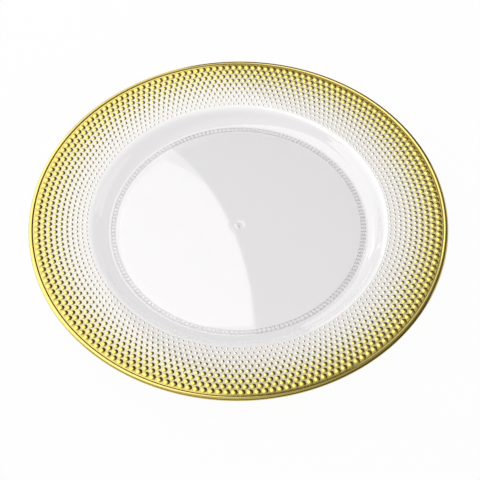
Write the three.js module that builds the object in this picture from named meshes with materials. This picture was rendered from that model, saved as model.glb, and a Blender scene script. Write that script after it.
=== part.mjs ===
import * as THREE from 'three';

// Charger plate: a clear moulding whose wide flange carries ten staggered rows of round studs,
// gilt at the edge and fading to clear towards the well. Millimetres, +Z up.
// The origin is on the table, under the middle of the plate.

// Clear moulding
const plateDiameter = 330; // over the gilt roll at the edge
const plateThickness = 2.2;
const wellDepth = 10; // from the floor up to the inner edge of the flange
const wallWidth = 16.3; // from the edge of the floor out to the flange
const wallFootReach = 10; // how far the wall's lower curve runs out over the floor's level
const wallTopReach = 6; // how far the wall's upper curve runs in from the flange
const flangeRise = 4.8; // from the inner edge of the flange up to its outer edge
const footInset = 0.6; // from the edge of the floor in to the foot ring, which is under the beads
const footWidth = 3;
const footHeight = 1.2;
const gateDiameter = 4; // nub left by the moulding gate in the middle of the floor
const gateTopDiameter = 3;
const gateHeight = 0.5;

// Beads round the floor
const beadCount = 180;
const beadWidth = 3.2;
const beadHeight = 1.4;
const beadNeckHeight = 0.5; // height of the ring between two beads
const beadInset = 0.6; // from the edge of the floor in to the beads

// Studs on the flange
const studBandWidth = 41.3; // studded part of the flange, from the well out to the plain strip
const studsPerRow = 180;
const outerStudHeight = 1.1; // highest point of the outermost row's studs
const innerStudHeight = 0.55; // and of the innermost row's
const skinThickness = 0.25; // of the stud rings in the hollows between the studs

// Gilt edge
const rollWidth = 3.3; // round roll outside the flange
const rollRise = 1; // how far the roll stands above the flange
const bandWidth = 2.1; // plain gilt strip between the roll and the studs
const bandThickness = 0.35;

// Gap between two pieces that touch
const seatGap = 0.1;

// Flat sides of the round pieces, and steps along their curves
const roundSides = 48;
const wallSteps = 4;
const rollSteps = 3;

// Stud rings from the edge inwards, each two rows deep, with less gold on each
const gilding = [
  { name: 'stud_ring_full_gilt', color: 0xd8b53a, metalness: 1, opacity: 1 },
  { name: 'stud_ring_deep_gilt', color: 0xe0c569, metalness: 0.8, opacity: 0.9 },
  { name: 'stud_ring_half_gilt', color: 0xe9d99a, metalness: 0.5, opacity: 0.75 },
  { name: 'stud_ring_pale_gilt', color: 0xefe8cc, metalness: 0.2, opacity: 0.6 },
  { name: 'stud_ring_clear', color: 0xf2f2ee, metalness: 0, opacity: 0.45 },
];

// Places that follow from the sizes above
const edgeRadius = plateDiameter / 2 - rollWidth;
const studsOuterRadius = edgeRadius - bandWidth;
const wellRadius = studsOuterRadius - studBandWidth; // inner edge of the flange, where the studs end
const floorRadius = wellRadius - wallWidth;
const beadOuterRadius = floorRadius - beadInset;
const beadInnerRadius = beadOuterRadius - beadWidth;
const floorHeight = footHeight + plateThickness;
const flangeHeight = floorHeight + wellDepth;
const flangeSlope = flangeRise / (edgeRadius - wellRadius);
const rowCount = 2 * gilding.length;
const studPitch = (2 * Math.PI) / studsPerRow;

// Height of the flange's top face at a radius
function flangeTop(radius) {
  return flangeHeight + flangeSlope * (radius - wellRadius);
}

// Each row is the same share smaller than the one outside it, so the studs keep their packing.
// Row 0 is the outermost, and a half row is the line between two rows.
function rowRadius(row) {
  return studsOuterRadius * (wellRadius / studsOuterRadius) ** ((row + 0.5) / rowCount);
}

// Stud height shrinks evenly from the outermost row to the innermost
function studHeight(row) {
  return THREE.MathUtils.lerp(outerStudHeight, innerStudHeight, row / (rowCount - 1));
}

// Corner radius of a flat-sided ring whose sides stay outside a circle
function cornerRadiusAround(radius) {
  return radius / Math.cos(Math.PI / roundSides);
}

function point(radius, angle, height) {
  return [radius * Math.cos(angle), radius * Math.sin(angle), height];
}

// Revolves a profile of (radius, height) points, bottom first, about +Z
function revolve(profile) {
  return new THREE.LatheGeometry(profile, roundSides).rotateX(Math.PI / 2);
}

// Closed surface from rings of points and triangles that name a ring and a place in it
function surface(rings, triangles) {
  const starts = new Map();
  const positions = [];
  for (const [name, points] of Object.entries(rings)) {
    starts.set(name, positions.length / 3);
    for (const place of points) positions.push(...place);
  }
  const indices = triangles.flat().map(([name, i]) => starts.get(name) + (i % rings[name].length));
  const geometry = new THREE.BufferGeometry();
  geometry.setAttribute('position', new THREE.Float32BufferAttribute(positions, 3));
  geometry.setIndex(indices);
  geometry.computeVertexNormals();
  return geometry;
}

// Fan of triangles from a peak to the corners round it, in counter-clockwise order
function fan(peak, corners) {
  return corners.map((corner, i) => [peak, corner, corners[(i + 1) % corners.length]]);
}

function finish(color, roughness, metalness, opacity) {
  return new THREE.MeshStandardMaterial({ color, roughness, metalness, opacity, transparent: opacity < 1 });
}

const clearPlastic = { color: 0xf4f4f4, roughness: 0.06, metalness: 0, opacity: 0.35 };
const polishedGold = { color: 0xe3c04a, roughness: 0.14, metalness: 1, opacity: 1 };
const studRoughness = 0.16;

function mesh(name, geometry, look) {
  const piece = new THREE.Mesh(geometry, finish(look.color, look.roughness, look.metalness, look.opacity));
  piece.name = name;
  return piece;
}

// The wall is one S-shaped curve from the level floor to the slope of the flange.
// On a wall narrower than its two curves, both are shortened alike.
function wallCurve() {
  const fit = Math.min(1, wallWidth / (wallFootReach + wallTopReach));
  const footReach = fit * wallFootReach;
  const topReach = fit * wallTopReach;
  return new THREE.CubicBezierCurve(
    new THREE.Vector2(floorRadius, floorHeight),
    new THREE.Vector2(floorRadius + footReach, floorHeight),
    new THREE.Vector2(wellRadius - topReach, flangeTop(wellRadius - topReach)),
    new THREE.Vector2(wellRadius, flangeHeight),
  );
}

// Points one plate thickness under a profile curve, square to it
function undersideOf(curve) {
  return curve.getPoints(wallSteps).map((top, i) => {
    const along = curve.getTangent(i / wallSteps);
    return new THREE.Vector2(top.x + along.y * plateThickness, top.y - along.x * plateThickness);
  });
}

// The floor has an edge just inside the beads, so what stands in the well lies on one clear face
function clearPlate() {
  const wall = wallCurve();
  const footOuter = floorRadius - footInset;
  const footInner = footOuter - footWidth;
  const rim = edgeRadius - seatGap;
  const profile = [
    new THREE.Vector2(0, footHeight),
    new THREE.Vector2(footInner, footHeight),
    new THREE.Vector2(footInner, 0),
    new THREE.Vector2(footOuter, 0),
    new THREE.Vector2(footOuter, footHeight),
    ...undersideOf(wall),
    new THREE.Vector2(rim, flangeTop(rim) - plateThickness),
    new THREE.Vector2(rim, flangeTop(rim)),
    ...wall.getPoints(wallSteps).reverse(),
    new THREE.Vector2(beadInnerRadius - seatGap, floorHeight),
    new THREE.Vector2(gateDiameter / 2, floorHeight),
    new THREE.Vector2(gateTopDiameter / 2, floorHeight + gateHeight),
    new THREE.Vector2(0, floorHeight + gateHeight),
  ];
  return mesh('clear_plate', revolve(profile), clearPlastic);
}

// A ring of beads that run into each other, lying on the floor inside the wall
function wellBeadRing() {
  const pitch = (2 * Math.PI) / beadCount;
  const middle = (beadOuterRadius + beadInnerRadius) / 2;
  const seat = floorHeight + seatGap;
  const rings = { outer: [], inner: [], peak: [], neck: [] };
  const triangles = [];
  for (let i = 0; i < beadCount; i++) {
    const angle = i * pitch;
    const between = angle + pitch / 2;
    rings.peak.push(point(middle, angle, floorHeight + beadHeight));
    rings.neck.push(point(middle, between, floorHeight + beadNeckHeight));
    rings.outer.push(point(beadOuterRadius, between, seat));
    rings.inner.push(point(beadInnerRadius, between, seat));
    const before = i + beadCount - 1;
    triangles.push(...fan(['peak', i], [
      ['outer', before], ['outer', i], ['neck', i], ['inner', i], ['inner', before], ['neck', before],
    ]));
    triangles.push([['outer', i], ['inner', i], ['inner', i + 1]]);
    triangles.push([['outer', i], ['inner', i + 1], ['outer', i + 1]]);
  }
  return mesh('well_bead_ring', surface(rings, triangles), clearPlastic);
}

// Two staggered rows of studs on one thin ring, which lies on the flange and thins out at both edges.
// Each stud rises from the hollows round it, and every hollow is shared by three studs.
function studRing(look, firstRow) {
  const outerRow = rowRadius(firstRow);
  const innerRow = rowRadius(firstRow + 1);
  const rowGap = outerRow - innerRow;
  const seat = (radius) => flangeTop(radius) + seatGap;
  const hollow = (radius, angle) => point(radius, angle, seat(radius) + skinThickness);
  const stud = (row, angle) => point(rowRadius(row), angle, flangeTop(rowRadius(row)) + studHeight(row));
  const outerEdge = rowRadius(firstRow - 0.5) - seatGap / 2;
  const innerEdge = rowRadius(firstRow + 1.5) + seatGap / 2;
  const rings = {
    outerEdge: [], outerStud: [], highHollow: [], lowHollow: [], innerStud: [], innerEdge: [],
  };
  const triangles = [];
  for (let i = 0; i < studsPerRow; i++) {
    const angle = i * studPitch;
    const between = angle + studPitch / 2;
    rings.outerEdge.push(point(outerEdge, between, seat(outerEdge)));
    rings.outerStud.push(stud(firstRow, angle));
    rings.highHollow.push(hollow(outerRow - rowGap / 3, between));
    rings.lowHollow.push(hollow(innerRow + rowGap / 3, angle));
    rings.innerStud.push(stud(firstRow + 1, between));
    rings.innerEdge.push(point(innerEdge, angle, seat(innerEdge)));
    const before = i + studsPerRow - 1;
    const after = i + 1;
    triangles.push(...fan(['outerStud', i], [
      ['outerEdge', before], ['outerEdge', i], ['highHollow', i], ['lowHollow', i], ['highHollow', before],
    ]));
    triangles.push(...fan(['innerStud', i], [
      ['highHollow', i], ['lowHollow', after], ['innerEdge', after], ['innerEdge', i], ['lowHollow', i],
    ]));
    triangles.push([['innerEdge', after], ['outerEdge', after], ['outerEdge', i]]);
    triangles.push([['outerEdge', i], ['innerEdge', i], ['innerEdge', after]]);
  }
  return mesh(look.name, surface(rings, triangles), { ...look, roughness: studRoughness });
}

// Gilt roll round the flange's rim, with a plain strip that lies on the flange as far as the studs.
// The roll's flat sides have one corner at the plate's full diameter and lie level at top and bottom.
function giltEdge() {
  const underside = flangeTop(edgeRadius) - plateThickness;
  const top = flangeTop(edgeRadius) + rollRise;
  const rollCentre = new THREE.Vector2(edgeRadius + rollWidth / 2, (underside + top) / 2);
  const rollStep = Math.PI / rollSteps;
  const rollHalfHeight = (top - underside) / 2 / Math.sin(rollStep);
  const roll = new THREE.EllipseCurve(
    rollCentre.x, rollCentre.y, rollWidth / 2, rollHalfHeight, -rollStep, Math.PI - rollStep,
  );
  const stripInner = cornerRadiusAround(studsOuterRadius + seatGap);
  const stripTop = (radius) => flangeTop(radius) + seatGap + bandThickness;
  const profile = [
    new THREE.Vector2(edgeRadius, underside),
    ...roll.getPoints(rollSteps),
    new THREE.Vector2(edgeRadius, stripTop(edgeRadius)),
    new THREE.Vector2(stripInner, stripTop(stripInner)),
    new THREE.Vector2(stripInner, flangeTop(stripInner) + seatGap),
    new THREE.Vector2(edgeRadius, flangeTop(edgeRadius) + seatGap),
    new THREE.Vector2(edgeRadius, underside),
  ];
  return mesh('gilt_edge', revolve(profile), polishedGold);
}

const plate = new THREE.Group();
plate.add(clearPlate(), wellBeadRing());
gilding.forEach((look, ring) => plate.add(studRing(look, 2 * ring)));
plate.add(giltEdge());

export default plate;
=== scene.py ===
import math

import bmesh
import bpy
import numpy as np
from mathutils import Matrix, Vector


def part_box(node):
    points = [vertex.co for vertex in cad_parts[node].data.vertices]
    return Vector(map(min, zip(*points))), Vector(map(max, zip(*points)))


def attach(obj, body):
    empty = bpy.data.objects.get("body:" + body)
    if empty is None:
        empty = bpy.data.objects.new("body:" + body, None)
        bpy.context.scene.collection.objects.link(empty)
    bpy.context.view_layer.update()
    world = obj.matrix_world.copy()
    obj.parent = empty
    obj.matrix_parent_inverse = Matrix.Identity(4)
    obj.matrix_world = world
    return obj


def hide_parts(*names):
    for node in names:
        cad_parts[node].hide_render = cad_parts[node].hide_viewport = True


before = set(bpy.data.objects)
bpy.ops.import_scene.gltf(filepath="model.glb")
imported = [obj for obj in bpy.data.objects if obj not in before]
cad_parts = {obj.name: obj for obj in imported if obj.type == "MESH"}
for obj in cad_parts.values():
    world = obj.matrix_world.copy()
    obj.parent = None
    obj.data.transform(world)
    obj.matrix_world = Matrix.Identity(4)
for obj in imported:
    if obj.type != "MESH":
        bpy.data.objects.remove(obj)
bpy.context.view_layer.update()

mm = 0.001  # sizes below are in millimetres, the scene is in metres
scene = bpy.context.scene
print("frame loaded,", len(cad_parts), "nodes")


# Where the plate's main circles lie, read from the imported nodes
def outerRadius(node):
    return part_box(node)[1].x / mm


plateRadius = outerRadius("gilt_edge")
rimRadius = outerRadius("clear_plate")
beadOuterRadius = outerRadius("well_bead_ring")
beadMiddle = beadOuterRadius - 1.6  # of the ring of beads, with the foot ring under it

moulding = {
    "thickness": 2.2,
    "floorRadius": beadOuterRadius + 0.6,
    "floorHeight": 3.4,
    "wellRadius": 118.3,  # inner edge of the flange
    "flangeHeight": 13.4,  # at the inner edge
    "flangeRise": 4.8,  # from there to the rim
    "wallFootReach": 10.0,
    "wallTopReach": 6.0,
    "rimEdge": 161.0,  # where the clear flange ends under the gilt edge
    "glossBlend": 0.6,  # width over which the gloss ends at the flange's inner edge
    "footFlat": 1.6,  # width that stands on the table
    "footInnerSide": 6.0,  # widths of the soft sides of the foot ring
    "footOuterSide": 4.8,
    "footHeight": 1.2,
    "gateRadius": 1.9,
    "gateRise": 0.7,
    "gateRingRadius": 3.3,  # shallow ring round the gate
    "gateRingWidth": 2.4,
    "gateRingDepth": 0.12,
    "gateGap": 0.2,  # between the gate and that ring
    "segments": 360,
    "wallSteps": 28,
    "footSteps": 12,
    "floorSteps": 23,
    "gateRingSteps": 15,
    "gateSteps": 8,
}
seatGap = 0.1  # between the studs, the beads or the strip and the plastic under them


# Height of the flange's top face: a cone that rises evenly from the well to the rim
def flangeTop(radius):
    slope = moulding["flangeRise"] / (rimRadius - moulding["wellRadius"])
    return moulding["flangeHeight"] + slope * (radius - moulding["wellRadius"])


# Quads between neighbouring points of a grid that has rows x columns points; columns close on themselves
def gridQuads(rows, columns, closeRows=False):
    i, j = np.meshgrid(np.arange(rows if closeRows else rows - 1), np.arange(columns), indexing="ij")
    nextI = (i + 1) % rows
    nextJ = (j + 1) % columns
    corners = [i * columns + j, nextI * columns + j, nextI * columns + nextJ, i * columns + nextJ]
    return np.stack(corners, axis=-1).reshape(-1, 4)


# A ring surface: each profile point (radius, height) is carried round the axis
def revolve(profile, segments):
    angle = np.arange(segments) * 2 * np.pi / segments
    radius = profile[:, 0:1]
    x = radius * np.cos(angle)
    y = radius * np.sin(angle)
    z = np.repeat(profile[:, 1:2], segments, axis=1)
    return np.stack([x, y, z], axis=-1).reshape(-1, 3)


mergeDistance = 0.002  # corners that lie closer than this become one


# A mesh from corner and face arrays and named values at the corners, with its seams and poles closed
def makeMesh(name, corners, faces, values):
    mesh = bpy.data.meshes.new(name)
    mesh.from_pydata((corners * mm).tolist(), [], faces)
    for valueName, value in values.items():
        mesh.attributes.new(valueName, "FLOAT", "POINT").data.foreach_set("value", value.astype(np.float32))
    work = bmesh.new()
    work.from_mesh(mesh)
    bmesh.ops.remove_doubles(work, verts=work.verts, dist=mergeDistance * mm)
    bmesh.ops.recalc_face_normals(work, faces=work.faces)
    work.to_mesh(mesh)
    work.free()
    return mesh


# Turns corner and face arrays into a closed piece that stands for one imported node
def addPiece(name, node, corners, faces, material, values, sharpAngle=40):
    mesh = makeMesh(name, corners, faces, values)
    mesh.shade_smooth()
    mesh.set_sharp_from_angle(angle=math.radians(sharpAngle))
    mesh.materials.append(material)
    piece = bpy.data.objects.new(name, mesh)
    scene.collection.objects.link(piece)
    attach(piece, "root")
    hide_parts(node)
    print(name, len(mesh.polygons), "faces")


# Shader nodes

def newMaterial(name):
    material = bpy.data.materials.new(name)
    material.use_nodes = True
    nodes = material.node_tree.nodes
    return material, nodes, material.node_tree.links, nodes["Principled BSDF"]


def addNode(nodes, kind, **settings):
    node = nodes.new(kind)
    for key, value in settings.items():
        setattr(node, key, value)
    return node


noiseRange = (0.3, 0.7)  # where most of a noise's values lie


# Noise on Object coordinates, in features per metre
def addNoise(nodes, links, scale, detail=3.0):
    place = addNode(nodes, "ShaderNodeTexCoord")
    noise = addNode(nodes, "ShaderNodeTexNoise")
    noise.inputs["Scale"].default_value = scale
    noise.inputs["Detail"].default_value = detail
    links.new(place.outputs["Object"], noise.inputs["Vector"])
    return noise


# A value spread from low to high over a source value's range
def addSpread(nodes, links, source, fromLow, fromHigh, toLow, toHigh):
    spread = addNode(nodes, "ShaderNodeMapRange", interpolation_type="SMOOTHSTEP")
    spread.inputs["From Min"].default_value = fromLow
    spread.inputs["From Max"].default_value = fromHigh
    spread.inputs["To Min"].default_value = toLow
    spread.inputs["To Max"].default_value = toHigh
    links.new(source, spread.inputs["Value"])
    return spread.outputs["Result"]


def addColorMix(nodes, links, factor, first, second):
    mix = addNode(nodes, "ShaderNodeMix", data_type="RGBA")
    mix.inputs["A"].default_value = (*first, 1)
    mix.inputs["B"].default_value = (*second, 1)
    links.new(factor, mix.inputs["Factor"])
    return mix.outputs["Result"]


def addBump(nodes, links, height, depth, strength):
    bump = addNode(nodes, "ShaderNodeBump")
    bump.inputs["Distance"].default_value = depth * mm
    bump.inputs["Strength"].default_value = strength
    links.new(height, bump.inputs["Height"])
    return bump.outputs["Normal"]


# Distance from the plate's axis, on Object coordinates
def addRadius(nodes, links):
    place = addNode(nodes, "ShaderNodeTexCoord")
    flatten = addNode(nodes, "ShaderNodeVectorMath", operation="MULTIPLY")
    flatten.inputs[1].default_value = (1, 1, 0)
    links.new(place.outputs["Object"], flatten.inputs[0])
    fromAxis = addNode(nodes, "ShaderNodeVectorMath", operation="LENGTH")
    links.new(flatten.outputs["Vector"], fromAxis.inputs[0])
    return fromAxis.outputs["Value"]


clearPlastic = {
    "clear": (0.97, 0.962, 0.962),
    "paintedShade": (0.86, 0.845, 0.85),  # painted shade on the floor and wall of the well: the table's shadow under them, seen through the plastic
    "wellShadeEdge": (113.5, 118.5),  # radius over which that painted shade ends
    "ior": 1.02,  # the wall is thin and even, so it hardly bends what is seen through it
    "beadIor": 1.2,
    "bead": (1.0, 0.995, 0.99),
    "valleyShade": (0.75, 0.74, 0.75),  # painted shade between the beads, where refraction bends the light away
    "valleyShadeEdge": (0.0, 0.22),  # share of a bead's height over which that ends
    "roughness": (0.02, 0.05),
    "flowScale": 14.0,  # soft unevenness left by the flow of the plastic, per metre
    "flowDepth": 0.04,
    "flowStrength": 1.0,
    "scuffScale": 900.0,
    "scuffRange": (0.35, 0.75),
    "polishIor": 1.8,  # of the hard gloss on top
    # painted shade over the gate in the middle, for the dark side of its nub: a slanting grey mark; its
    # turn in degrees, half its length and width, and the share of these over which it fades
    "gateShadeTurn": -60.0,
    "gateShadeSize": (3.2, 1.2),
    "gateShadeEdge": (0.4, 1.1),
    "gateShade": (0.58, 0.57, 0.58),
}


# Share of the painted shade in the well: 1 inside the well's edge, 0 on the flange
def addWellShadeShare(nodes, links):
    inner, outer = clearPlastic["wellShadeEdge"]
    return addSpread(nodes, links, addRadius(nodes, links), inner * mm, outer * mm, 1, 0)


# Share of the painted shade between the beads: 1 at their foot
def addValleyShadeShare(nodes, links):
    lift = addNode(nodes, "ShaderNodeAttribute", attribute_name="lift")
    return addSpread(nodes, links, lift.outputs["Fac"], *clearPlastic["valleyShadeEdge"], 1, 0)


# Clear plastic with a second colour of painted shade; the last argument makes the nodes that give the share
# of that painted shade
def makeClearPlastic(name, ior, clear, paintedShade, addShadeShare):
    material, nodes, links, shader = newMaterial(name)
    flow = addNoise(nodes, links, clearPlastic["flowScale"], detail=2.0)
    scuff = addNoise(nodes, links, clearPlastic["scuffScale"], detail=4.0)
    tint = addShadeShare(nodes, links)
    place = addNode(nodes, "ShaderNodeTexCoord")
    gateShadePlace = addNode(nodes, "ShaderNodeMapping", vector_type="TEXTURE")
    gateShadePlace.inputs["Rotation"].default_value = (0, 0, math.radians(clearPlastic["gateShadeTurn"]))
    gateShadePlace.inputs["Scale"].default_value = (*(size * mm for size in clearPlastic["gateShadeSize"]), 1)
    links.new(place.outputs["Object"], gateShadePlace.inputs["Vector"])
    fromGateShade = addNode(nodes, "ShaderNodeVectorMath", operation="LENGTH")
    links.new(gateShadePlace.outputs["Vector"], fromGateShade.inputs[0])
    # the slanting grey mark mixed in here is painted shade over the gate
    finish = addNode(nodes, "ShaderNodeMix", data_type="RGBA")
    # the clear colour, darkened towards the painted shade by its share
    links.new(addColorMix(nodes, links, tint, clear, paintedShade), finish.inputs["A"])
    finish.inputs["B"].default_value = (*clearPlastic["gateShade"], 1)
    links.new(addSpread(nodes, links, fromGateShade.outputs["Value"], *clearPlastic["gateShadeEdge"], 1, 0),
              finish.inputs["Factor"])
    links.new(finish.outputs["Result"], shader.inputs["Base Color"])
    links.new(addSpread(nodes, links, scuff.outputs["Fac"], *clearPlastic["scuffRange"],
                        *clearPlastic["roughness"]), shader.inputs["Roughness"])
    links.new(addBump(nodes, links, flow.outputs["Fac"], clearPlastic["flowDepth"],
                      clearPlastic["flowStrength"]), shader.inputs["Normal"])
    shader.inputs["IOR"].default_value = ior
    shader.inputs["Transmission Weight"].default_value = 1.0
    gloss = addNode(nodes, "ShaderNodeAttribute", attribute_name="gloss")
    links.new(gloss.outputs["Fac"], shader.inputs["Coat Weight"])
    shader.inputs["Coat IOR"].default_value = clearPlastic["polishIor"]
    return material


giltFilm = {
    "deepGold": (0.67, 0.515, 0.06),
    "paleGold": (0.76, 0.62, 0.15),
    "thin": (0.905, 0.885, 0.87),  # where the film is too thin to see
    "ior": 1.2,  # low, as a skin and the flange under it stand for one wall
    "roughness": (0.06, 0.12),
    "speckleScale": 1500.0,
    # radius and the film's colour cover there, on the domes and on the field between them
    "domeCover": ((120.0, 0.15), (127.5, 0.32), (135.5, 0.6), (143.7, 0.9), (150.0, 1.0)),
    "fieldCover": ((120.0, 0.03), (127.5, 0.06), (135.5, 0.13), (143.7, 0.25), (148.0, 0.37),
                   (152.6, 0.57), (158.0, 0.8), (160.0, 0.95)),
    "domeEdge": (0.0, 0.1),  # share of a dome's height over which the field's film turns into the dome's
    "domeMetal": (0.9, 1.0),  # share that mirrors where the cover is 0 and 1
    "fieldMetal": (0.0, 0.2),  # thinner on the field: much of the light goes through it
    "polish": 1.0,
    "polishIor": 1.5,
}


# Film cover as a curve of the radius, with the given (radius, cover) points
def addCover(nodes, links, radiusValue, points):
    low, high = points[0][0], points[-1][0]
    along = addNode(nodes, "ShaderNodeMapRange")
    along.inputs["From Min"].default_value = low * mm
    along.inputs["From Max"].default_value = high * mm
    links.new(radiusValue, along.inputs["Value"])
    ramp = addNode(nodes, "ShaderNodeValToRGB")
    steps = ramp.color_ramp.elements
    for radius, _ in points[1:-1]:
        steps.new((radius - low) / (high - low))
    for step, (radius, cover) in zip(steps, points):
        step.position = (radius - low) / (high - low)
        step.color = (cover, cover, cover, 1)
    links.new(along.outputs["Result"], ramp.inputs["Fac"])
    return ramp.outputs["Color"]


def makeGiltFilm(name):
    material, nodes, links, shader = newMaterial(name)
    radiusValue = addRadius(nodes, links)
    lift = addNode(nodes, "ShaderNodeAttribute", attribute_name="lift")
    onDome = addSpread(nodes, links, lift.outputs["Fac"], *giltFilm["domeEdge"], 0, 1)
    fieldCover = addCover(nodes, links, radiusValue, giltFilm["fieldCover"])
    domeCover = addCover(nodes, links, radiusValue, giltFilm["domeCover"])
    cover = addNode(nodes, "ShaderNodeMix", data_type="FLOAT")
    links.new(onDome, cover.inputs["Factor"])
    links.new(fieldCover, cover.inputs["A"])
    links.new(domeCover, cover.inputs["B"])
    metal = addNode(nodes, "ShaderNodeMix", data_type="FLOAT")
    links.new(onDome, metal.inputs["Factor"])
    links.new(addSpread(nodes, links, fieldCover, 0, 1, *giltFilm["fieldMetal"]), metal.inputs["A"])
    links.new(addSpread(nodes, links, domeCover, 0, 1, *giltFilm["domeMetal"]), metal.inputs["B"])
    speckle = addNoise(nodes, links, giltFilm["speckleScale"])
    goldTint = addSpread(nodes, links, speckle.outputs["Fac"], *noiseRange, 0, 1)
    gold = addColorMix(nodes, links, goldTint, giltFilm["deepGold"], giltFilm["paleGold"])
    finish = addNode(nodes, "ShaderNodeMix", data_type="RGBA")
    finish.inputs["A"].default_value = (*giltFilm["thin"], 1)
    links.new(gold, finish.inputs["B"])
    links.new(cover.outputs["Result"], finish.inputs["Factor"])
    links.new(finish.outputs["Result"], shader.inputs["Base Color"])
    links.new(metal.outputs["Result"], shader.inputs["Metallic"])
    links.new(addSpread(nodes, links, speckle.outputs["Fac"], *noiseRange, *giltFilm["roughness"]),
              shader.inputs["Roughness"])
    shader.inputs["IOR"].default_value = giltFilm["ior"]
    shader.inputs["Transmission Weight"].default_value = 1.0
    shader.inputs["Coat Weight"].default_value = giltFilm["polish"]
    shader.inputs["Coat IOR"].default_value = giltFilm["polishIor"]
    return material


polishedGold = {
    "deep": (0.66, 0.505, 0.05),
    "pale": (0.74, 0.585, 0.12),
    "metal": 0.9,  # the film lets light through to the clear roll under it
    "ior": 1.3,
    "roughness": (0.05, 0.1),
    "grainScale": 700.0,
    "grainDepth": 0.01,
    "grainStrength": 0.3,
    "polish": 1.0,
    "polishIor": 1.85,
}


def makePolishedGold(name):
    material, nodes, links, shader = newMaterial(name)
    grain = addNoise(nodes, links, polishedGold["grainScale"])
    tint = addSpread(nodes, links, grain.outputs["Fac"], *noiseRange, 0, 1)
    links.new(addColorMix(nodes, links, tint, polishedGold["deep"], polishedGold["pale"]),
              shader.inputs["Base Color"])
    links.new(addSpread(nodes, links, grain.outputs["Fac"], *noiseRange, *polishedGold["roughness"]),
              shader.inputs["Roughness"])
    links.new(addBump(nodes, links, grain.outputs["Fac"], polishedGold["grainDepth"],
                      polishedGold["grainStrength"]), shader.inputs["Normal"])
    shader.inputs["Metallic"].default_value = polishedGold["metal"]
    shader.inputs["IOR"].default_value = polishedGold["ior"]
    shader.inputs["Transmission Weight"].default_value = 1.0
    shader.inputs["Coat Weight"].default_value = polishedGold["polish"]
    shader.inputs["Coat IOR"].default_value = polishedGold["polishIor"]
    return material


plasticLook = makeClearPlastic("clear_plastic", clearPlastic["ior"], clearPlastic["clear"],
                               clearPlastic["paintedShade"], addWellShadeShare)
beadLook = makeClearPlastic("bead_plastic", clearPlastic["beadIor"], clearPlastic["bead"],
                            clearPlastic["valleyShade"], addValleyShadeShare)
filmLook = makeGiltFilm("fading_gilt_film")
goldLook = makePolishedGold("polished_gold")
print("finishes made")


# The moulding: floor, foot ring, wall and flange

# Cubic curve between the first and last of four points, drawn towards the two between them
def cubicCurve(points, steps):
    t = np.linspace(0, 1, steps + 1)[:, None]
    a, b, c, d = (np.array(point, float) for point in points)
    place = (1 - t) ** 3 * a + 3 * (1 - t) ** 2 * t * b + 3 * (1 - t) * t ** 2 * c + t ** 3 * d
    along = 3 * ((1 - t) ** 2 * (b - a) + 2 * (1 - t) * t * (c - b) + t ** 2 * (d - c))
    return place, along / np.linalg.norm(along, axis=1, keepdims=True)


# Part of an ellipse's line, from one angle in degrees to another
def ellipseArc(centre, halfWidth, halfHeight, fromAngle, toAngle, steps):
    angle = np.radians(np.linspace(fromAngle, toAngle, steps + 1))
    return np.array(centre) + np.stack([halfWidth * np.cos(angle), halfHeight * np.sin(angle)], axis=-1)


def makeMoulding():
    m = moulding
    floorEdge = (m["floorRadius"], m["floorHeight"])
    flangeEdge = (m["wellRadius"], m["flangeHeight"])
    topPull = m["wellRadius"] - m["wallTopReach"]
    wall, along = cubicCurve([floorEdge, (m["floorRadius"] + m["wallFootReach"], m["floorHeight"]),
                              (topPull, flangeTop(topPull)), flangeEdge], m["wallSteps"])
    under = wall + m["thickness"] * np.stack([along[:, 1], -along[:, 0]], axis=-1)
    # the foot's inner side falls by the smooth step 3 s^2 - 2 s^3 of the share s across it
    share = np.linspace(0, 1, m["footSteps"] + 1)
    footInner = beadMiddle - m["footFlat"] / 2
    footOuter = beadMiddle + m["footFlat"] / 2
    footSide = np.stack([footInner - m["footInnerSide"] * (1 - share),
                         m["footHeight"] * (1 - share ** 2 * (3 - 2 * share))], axis=-1)
    foot = np.concatenate([footSide, [(footOuter, 0)]])
    under = under[under[:, 0] > footOuter + m["footOuterSide"]]
    rimTop = flangeTop(m["rimEdge"])
    studsEdge = m["wellRadius"] + m["glossBlend"]
    rim = np.array([(m["rimEdge"], rimTop - m["thickness"]), (m["rimEdge"], rimTop),
                    (studsEdge, flangeTop(studsEdge))])
    ringEdge = m["gateRingRadius"] + m["gateRingWidth"] / 2
    floorOut = np.linspace(m["floorRadius"], ringEdge, m["floorSteps"] + 1)[1:]
    floor = np.stack([floorOut, np.full_like(floorOut, m["floorHeight"])], axis=-1)
    # the ring round the gate dips by a squared cosine across its width
    ringOut = np.linspace(ringEdge, m["gateRadius"] + m["gateGap"], m["gateRingSteps"] + 1)[1:]
    ringShare = (ringOut - m["gateRingRadius"]) / m["gateRingWidth"]
    ringDip = m["gateRingDepth"] * np.cos(ringShare * np.pi) ** 2
    gateRing = np.stack([ringOut, m["floorHeight"] - ringDip], axis=-1)
    # the gate itself is a low cap: its height falls as one less the squared share of its radius
    gateShare = np.linspace(1, 0, m["gateSteps"] + 1)
    gateTop = m["floorHeight"] + m["gateRise"] * (1 - gateShare ** 2)
    gate = np.stack([m["gateRadius"] * gateShare, gateTop], axis=-1)
    underFloor = np.array([(0, m["footHeight"]), (footSide[0, 0] / 2, m["footHeight"])])
    profile = np.concatenate([underFloor, foot, under, rim, wall[::-1], floor, gateRing, gate])
    # the hidden side of the wall has no gloss, or it would show as a dark line through the bend above it,
    # and the flange has none under the studs, which have their own
    gloss = np.concatenate([np.ones(len(underFloor) + len(foot)), np.zeros(len(under) + len(rim))])
    gloss = np.concatenate([gloss, np.ones(len(profile) - len(gloss))])
    corners = revolve(profile, m["segments"])
    faces = gridQuads(len(profile), m["segments"]).tolist()
    addPiece("plate_moulding", "clear_plate", corners, faces, plasticLook,
             {"gloss": np.repeat(gloss, m["segments"])})


makeMoulding()


# Domed cells: round domes in rings of cells that are all closed to each other

sectors = 12  # points round each dome; its cell's corners and the middles of its sides lie on these


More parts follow.
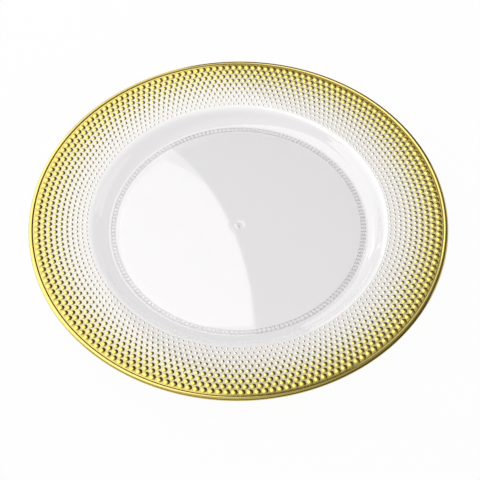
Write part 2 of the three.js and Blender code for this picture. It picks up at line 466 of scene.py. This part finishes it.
# Walk round a six-sided cell whose corners point in and out: a share of the half pitch across,
# from -1 to 1, and a share of the corner's reach outwards. A side's distance at an angle is the
# apothem over the cosine.
def cellWalk():
    turn = np.arange(sectors) * 2 * np.pi / sectors
    fromMiddle = (turn + np.pi / 6) % (np.pi / 3) - np.pi / 6
    reach = 1 / np.cos(fromMiddle)
    return turn, np.round(reach * np.cos(turn), 9), np.round(reach * np.sin(turn) * np.sqrt(3) / 2, 9)


# Each cell is a polar grid: its border, then circles of the dome up to the peak.
# A circle at share s of the dome's base radius stands h (1 - s^p) above the base, for a dome of height h.
# The power p is 2 for a round dome.
def domeCells(count, phase, borderRadius, centreRadius, baseRadius, height, power, circles, seatHeight,
              acrossShare=1):
    turn, across, _ = cellWalk()
    pitch = 2 * np.pi / count
    centre = (np.arange(count) * pitch + phase)[:, None, None]
    share = np.array(circles)[:, None]
    domeRadius = centreRadius + baseRadius * share * np.sin(turn)
    domeAngle = acrossShare * baseRadius * share * np.cos(turn) / centreRadius
    cap = height * (1 - share ** power)
    radius = np.concatenate([borderRadius[None], domeRadius, np.full((1, sectors), centreRadius)])
    angle = np.concatenate([across[None] * pitch / 2, domeAngle, np.zeros((1, sectors))]) + centre
    rise = np.concatenate([[0], cap[:, 0], [height]])[:, None]
    z = np.broadcast_to(seatHeight(radius) + rise, angle.shape)
    points = np.stack([radius * np.cos(angle), radius * np.sin(angle), z], axis=-1)
    lift = np.broadcast_to(rise / height, angle.shape)
    faces = gridQuads(len(radius), sectors) + (np.arange(count) * radius.size)[:, None, None]
    return points.reshape(-1, 3), faces.reshape(-1, 4), lift.reshape(-1)


# Sides and underside that close a ring of cells: four lines round the axis, from the inner top
# to the outer top
def closeUnder(innerLine, outerLine, topHeight, underHeight):
    steps = len(innerLine)
    angle = np.arange(steps) * 2 * np.pi / steps
    radius = np.stack([innerLine, innerLine, outerLine, outerLine])
    height = np.stack([topHeight(innerLine), underHeight(innerLine), underHeight(outerLine),
                       topHeight(outerLine)])
    points = np.stack([radius * np.cos(angle), radius * np.sin(angle), height], axis=-1)
    return points.reshape(-1, 3), gridQuads(4, steps), np.zeros(4 * steps)


def joinParts(parts):
    starts = np.cumsum([0] + [len(part[0]) for part in parts[:-1]])
    corners = np.concatenate([part[0] for part in parts])
    faces = np.concatenate([part[1] + start for part, start in zip(parts, starts)])
    return corners, faces.tolist(), np.concatenate([part[2] for part in parts])


studs = {
    "perRow": 180,
    "rows": 10,
    "outerBase": 2.45,  # dome radius in the outermost row
    "innerBase": 0.8,
    "rise": 0.24,  # a dome's height as a share of its radius
    "power": 4,  # flatter on top and steeper at the foot than a ball
    "skin": 0.1,  # thickness of the plain field between the studs
    "circles": (1.0, 0.75, 0.42),
    "edgeGap": 0.02,  # half the gap between two rings
    "edgeShift": 1.0,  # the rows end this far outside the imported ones, as the flat strip is narrow
    "sharpAngle": 30,
}
studsOuterRadius = outerRadius("stud_ring_full_gilt") + studs["edgeShift"]
cornerReach = 2 / 3  # of a row's width, from a stud's middle to the corner of its cell
sideShare = 0.4  # of the corner's reach: border points past it are a cell's outer or inner side


# Each row is the same share smaller than the one outside it; row 0 is the outermost
def rowRadius(row):
    share = (moulding["wellRadius"] / studsOuterRadius) ** ((row + 0.5) / studs["rows"])
    return studsOuterRadius * share


def studSeat(radius):
    return flangeTop(radius) + seatGap + studs["skin"]


# Border of a stud's cell: the six-sided walk, cut to a circle at the outer and inner edge of the flange
def studBorder(row, isOuter):
    _, _, outwards = cellWalk()
    outerSide = outwards > sideShare
    innerSide = outwards < -sideShare
    radius = rowRadius(row - outwards * cornerReach)
    if row == 0:
        radius = np.where(outerSide, rowRadius(-0.5), radius)
    if row == studs["rows"] - 1:
        radius = np.where(innerSide, rowRadius(row + 0.5), radius)
    if isOuter:
        return radius - np.where(outerSide, studs["edgeGap"], 0)
    return radius + np.where(innerSide, studs["edgeGap"], 0)


def makeStudRing(name, node, firstRow):
    parts = []
    borders = []
    for row, isOuter in ((firstRow, True), (firstRow + 1, False)):
        fade = row / (studs["rows"] - 1)
        base = studs["outerBase"] + fade * (studs["innerBase"] - studs["outerBase"])
        border = studBorder(row, isOuter)
        phase = (row % 2) * np.pi / studs["perRow"]
        parts.append(domeCells(studs["perRow"], phase, border, rowRadius(row), base, base * studs["rise"],
                               studs["power"], studs["circles"], studSeat))
        borders.append(border)
    # points of the border at every quarter of a pitch, from a stud's middle on
    outerLine = np.tile(borders[0][[3, 2, 1, 4]], studs["perRow"])
    innerLine = np.tile(borders[1][[7, 8, 9, 10]], studs["perRow"])
    parts.append(closeUnder(innerLine, outerLine, studSeat, lambda radius: flangeTop(radius) + seatGap))
    corners, faces, lift = joinParts(parts)
    addPiece(name, node, corners, faces, filmLook, {"lift": lift}, studs["sharpAngle"])


# Each ring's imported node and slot, from the edge inwards
studRings = {
    "studs_full_gilt": ("stud_ring_full_gilt", "full_gilt"),
    "studs_deep_gilt": ("stud_ring_deep_gilt", "deep_gilt"),
    "studs_half_gilt": ("stud_ring_half_gilt", "half_gilt"),
    "studs_pale_gilt": ("stud_ring_pale_gilt", "pale_gilt"),
    "studs_clear": ("stud_ring_clear", "clear_plastic"),
}
for number, (name, (node, slotName)) in enumerate(studRings.items()):
    makeStudRing(name, node, 2 * number)


# Ring of beads round the floor
beads = {
    "count": 180,
    "width": 4.24,
    "peak": 1.3,
    "baseRadius": 2.1,  # along the plate's radius
    "acrossShare": 0.79,  # a bead's width round the ring against its length
    "power": 2,
    "skin": 0.1,
    "circles": (1.0, 0.8, 0.45),
}


def beadSeat(radius):
    return np.full_like(radius, moulding["floorHeight"] + seatGap + beads["skin"])


def makeBeads():
    _, _, outwards = cellWalk()
    inner = beadMiddle - beads["width"] / 2
    outer = beadMiddle + beads["width"] / 2
    border = beadMiddle + np.sign(outwards) * beads["width"] / 2
    height = beads["peak"] - seatGap - beads["skin"]
    steps = beads["count"] * 4
    parts = [
        domeCells(beads["count"], 0, border, beadMiddle, beads["baseRadius"], height, beads["power"],
                  beads["circles"], beadSeat, beads["acrossShare"]),
        closeUnder(np.full(steps, inner), np.full(steps, outer), beadSeat,
                   lambda radius: beadSeat(radius) - beads["skin"]),
    ]
    corners, faces, lift = joinParts(parts)
    addPiece("well_beads", "well_bead_ring", corners, faces, beadLook,
             {"gloss": np.ones(len(corners)), "lift": lift})


makeBeads()


# Gilt edge: a round roll outside the rim and a plain strip beside the studs
edge = {
    "rollWidth": 3.6,
    "rollRise": 1.0,
    "rollTopRadius": 162.9,
    "stripStep": 0.06,  # short faces that keep both ends of the strip crisp
    "segments": 360,
    "rollSteps": 14,
}


def makeEdge():
    stripThickness = studs["skin"]
    underside = flangeTop(rimRadius) - moulding["thickness"]
    top = flangeTop(rimRadius) + edge["rollRise"]
    middle = (edge["rollTopRadius"], (underside + top) / 2)
    # the roll's section is half an ellipse from its lowest point round the outside to its top,
    # then a quarter of a lower one down to the strip
    halfHeight = (top - underside) / 2
    rollInner = plateRadius - edge["rollWidth"]
    outside = ellipseArc(middle, plateRadius - middle[0], halfHeight, -90, 90, edge["rollSteps"])
    inside = moulding["rimEdge"] + seatGap
    footTop = flangeTop(rollInner) + seatGap + stripThickness
    inward = ellipseArc((middle[0], footTop), middle[0] - rollInner, top - footTop, 90, 180,
                        edge["rollSteps"] // 2)
    stripRadius = np.array([rollInner - edge["stripStep"], studsOuterRadius + edge["stripStep"],
                            studsOuterRadius])
    stripTop = np.stack([stripRadius, flangeTop(stripRadius) + seatGap + stripThickness], axis=-1)
    profile = np.concatenate([
        [(inside, underside)],
        outside,
        inward[1:],
        stripTop,
        [(studsOuterRadius, flangeTop(studsOuterRadius) + seatGap)],
        [(inside, flangeTop(inside) + seatGap)],
    ])
    corners = revolve(profile, edge["segments"])
    faces = gridQuads(len(profile), edge["segments"], closeRows=True).tolist()
    addPiece("gilt_roll", "gilt_edge", corners, faces, goldLook, {})


makeEdge()


# Camera, at the photograph's viewing angle
viewer = {
    "place": (-5.346, -577.12, 796.19),
    "aim": (0.977, -14.436, 3.425),
    "roll": -0.5526,  # degrees
    "lens": 92.04,
    "sensor": 36.0,
}


def makeCamera():
    camera = bpy.data.cameras.new("viewer")
    camera.lens = viewer["lens"]
    camera.sensor_width = viewer["sensor"]
    place = Vector(viewer["place"]) * mm
    forward = (Vector(viewer["aim"]) * mm - place).normalized()
    level = forward.cross(Vector((0, 0, 1))).normalized()
    upright = level.cross(forward)
    roll = math.radians(viewer["roll"])
    right = level * math.cos(roll) + upright * math.sin(roll)
    up = upright * math.cos(roll) - level * math.sin(roll)
    holder = bpy.data.objects.new("viewer", camera)
    holder.matrix_world = Matrix.Translation(place) @ Matrix((right, up, -forward)).transposed().to_4x4()
    scene.collection.objects.link(holder)
    scene.camera = holder


makeCamera()


# Floor, lamps and room
floorSheet = {
    "rings": (0.0, 360.0, 900.0),  # radii of its circles of corners
    "segments": 96,
    "drop": 0.2,  # below the foot ring, so that no two faces share a place
    "color": (0.9, 0.9, 0.9),
    "roughness": 0.9,
    "glow": 0.965,  # share of white that doesn't depend on the lamps, for rays that see the floor
}


# 1 where the ray is of one of the named kinds, and 0 elsewhere
def addSeenRay(nodes, links, names):
    path = addNode(nodes, "ShaderNodeLightPath")
    seen = path.outputs[names[0]]
    for other in names[1:]:
        larger = addNode(nodes, "ShaderNodeMath", operation="MAXIMUM")
        links.new(seen, larger.inputs[0])
        links.new(path.outputs[other], larger.inputs[1])
        seen = larger.outputs["Value"]
    return seen


def makeFloor():
    profile = np.array([(radius, 0.0) for radius in floorSheet["rings"]])
    corners = revolve(profile, floorSheet["segments"])
    faces = gridQuads(len(profile), floorSheet["segments"]).tolist()
    mesh = makeMesh("floor", corners, faces, {})
    material, nodes, links, shader = newMaterial("floor_paper")
    shader.inputs["Roughness"].default_value = floorSheet["roughness"]
    shader.inputs["Specular IOR Level"].default_value = 0.0
    shader.inputs["Emission Color"].default_value = (1, 1, 1, 1)
    seen = addSeenRay(nodes, links, ["Is Camera Ray", "Is Glossy Ray", "Is Transmission Ray"])
    # rays that see the floor get the glow and the rest of the lit colour, which holds the shadow
    glow = addNode(nodes, "ShaderNodeMath", operation="MULTIPLY")
    glow.inputs[1].default_value = floorSheet["glow"]
    links.new(seen, glow.inputs[0])
    links.new(glow.outputs["Value"], shader.inputs["Emission Strength"])
    links.new(addColorMix(nodes, links, glow.outputs["Value"], floorSheet["color"], (0, 0, 0)),
              shader.inputs["Base Color"])
    mesh.materials.append(material)
    floor = bpy.data.objects.new("floor", mesh)
    floor.location.z = -floorSheet["drop"] * mm
    scene.collection.objects.link(floor)


makeFloor()

# A lamp's place is given as seen from the plate: azimuth from straight back towards the right, elevation,
# distance in metres, and its span as tangents across and up from that direction
lamps = {
    "softbox": {"shape": "ELLIPSE", "azimuth": -60, "elevation": 50, "distance": 1.2,
                "across": (-0.652, 0.652), "up": (-0.187, 0.663), "radiance": 1.25},
    "side_panel": {"shape": "RECTANGLE", "azimuth": -60, "elevation": 50, "distance": 1.2,
                   "across": (-1.0, 0.55), "up": (-1.3, -0.17), "radiance": 1.4},
    "back_panel": {"shape": "RECTANGLE", "azimuth": -22, "elevation": 24, "distance": 1.2,
                   "across": (-0.3, 0.25), "up": (-0.45, 0.36), "radiance": 1.0},
    "right_card": {"shape": "RECTANGLE", "azimuth": 75, "elevation": 15, "distance": 0.45,
                   "across": (-0.45, 0.4), "up": (-0.25, 0.16), "radiance": 0.6},
}


def makeLamp(name, lamp):
    azimuth = math.radians(lamp["azimuth"])
    elevation = math.radians(lamp["elevation"])
    towards = Vector((math.sin(azimuth) * math.cos(elevation), math.cos(azimuth) * math.cos(elevation),
                      math.sin(elevation)))
    right = Vector((math.cos(azimuth), -math.sin(azimuth), 0))
    up = right.cross(towards)
    wide, high = (lamp["distance"] * (span[1] - span[0]) for span in (lamp["across"], lamp["up"]))
    place = lamp["distance"] * (towards + right * sum(lamp["across"]) / 2 + up * sum(lamp["up"]) / 2)
    light = bpy.data.lights.new(name, "AREA")
    light.shape = lamp["shape"]
    light.size = wide
    light.size_y = high
    area = wide * high * (math.pi / 4 if lamp["shape"] == "ELLIPSE" else 1)
    light.energy = lamp["radiance"] * math.pi * area
    holder = bpy.data.objects.new(name, light)
    holder.matrix_world = Matrix.Translation(place) @ Matrix((-right, up, towards)).transposed().to_4x4()
    holder.visible_camera = False
    scene.collection.objects.link(holder)


for name, lamp in lamps.items():
    makeLamp(name, lamp)

# The room is light round the lamps and dark elsewhere
room = {"low": 0.06, "high": 0.75, "lightest": (-0.5, -0.12, 0.858), "from": 0.3}


def makeRoom():
    world = bpy.data.worlds.new("room")
    scene.world = world
    world.use_nodes = True
    nodes, links = world.node_tree.nodes, world.node_tree.links
    background = nodes["Background"]
    place = addNode(nodes, "ShaderNodeTexCoord")
    towards = addNode(nodes, "ShaderNodeVectorMath", operation="DOT_PRODUCT")
    towards.inputs[1].default_value = room["lightest"]
    links.new(place.outputs["Generated"], towards.inputs[0])
    grey = addSpread(nodes, links, towards.outputs["Value"], room["from"], 1.0, room["low"], room["high"])
    seen = addSeenRay(nodes, links, ["Is Camera Ray"])
    strength = addNode(nodes, "ShaderNodeMix", data_type="FLOAT")
    strength.inputs["B"].default_value = 1.0  # the camera itself sees white
    links.new(seen, strength.inputs["Factor"])
    links.new(grey, strength.inputs["A"])
    links.new(strength.outputs["Result"], background.inputs["Strength"])
    background.inputs["Color"].default_value = (1, 1, 1, 1)


makeRoom()
scene.view_settings.view_transform = "Standard"
print("camera, floor, lamps and room made")
